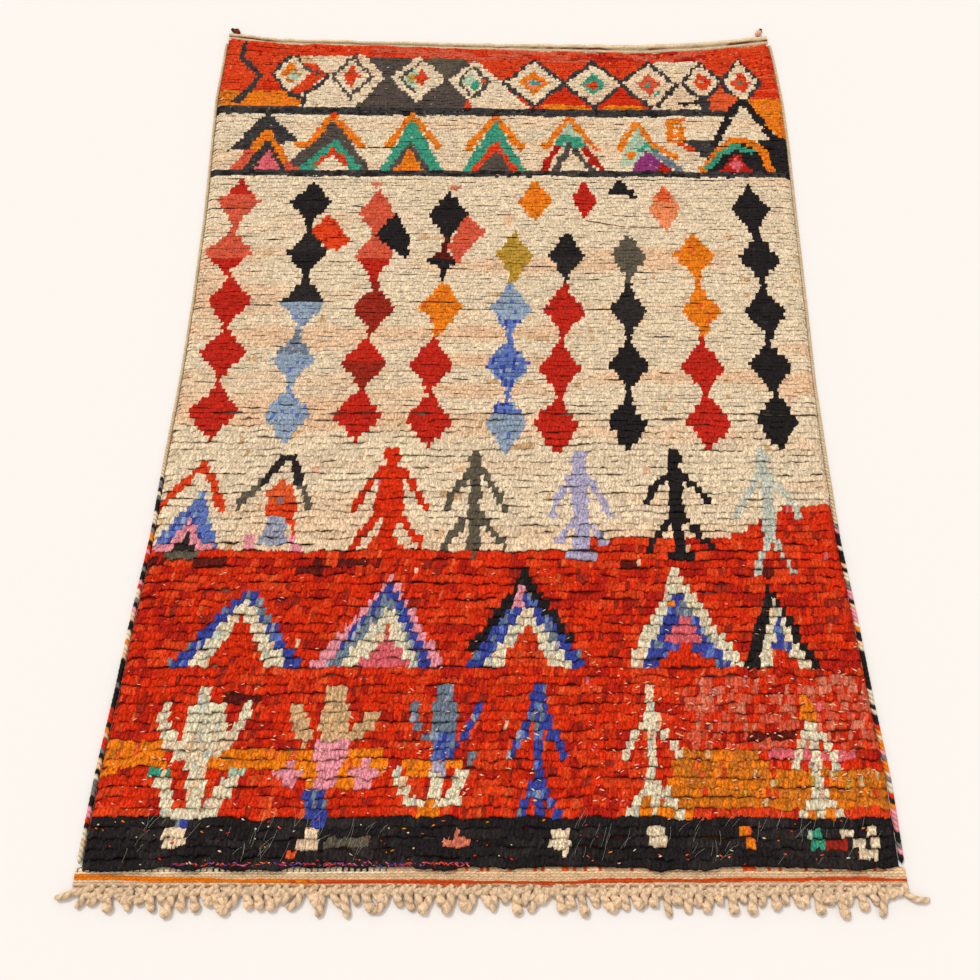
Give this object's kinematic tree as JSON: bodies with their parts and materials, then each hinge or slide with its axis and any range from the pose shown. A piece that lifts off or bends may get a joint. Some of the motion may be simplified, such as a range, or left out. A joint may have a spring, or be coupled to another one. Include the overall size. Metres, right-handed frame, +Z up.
{
  "type": "azilal rug",
  "caption": "Hand-knotted wool pile rug lying flat, with flat-woven ends, overcast side bindings, a knotted cord fringe and yarn ties at the far corners.",
  "frame": {"origin": "middle of the rug's underside on the floor, at the bottom centre of its box", "axes": "+Y along the rug, away from the fringe; +X across it, to the right when seen from the fringe; +Z up through the pile"},
  "size_m": [1.6718, 2.4546, 0.0191],
  "materials": {
    "pile_wool": "soft matt knotted wool pile in cream, red, black, orange and blue",
    "binding_yarn": "overcast wool yarn, matt, in short stretches of several colours",
    "fringe_wool": "thick undyed cream wool cord, matt",
    "tie_yarn": "knotted ends of wool yarn, matt"
  },
  "bodies": {
    "root": {"rug": "pile_wool", "edge_binding_left": "binding_yarn", "edge_binding_right": "binding_yarn", "fringe": "fringe_wool", "corner_tie_left": "tie_yarn", "corner_tie_right": "tie_yarn"}
  },
  "joints": []
}
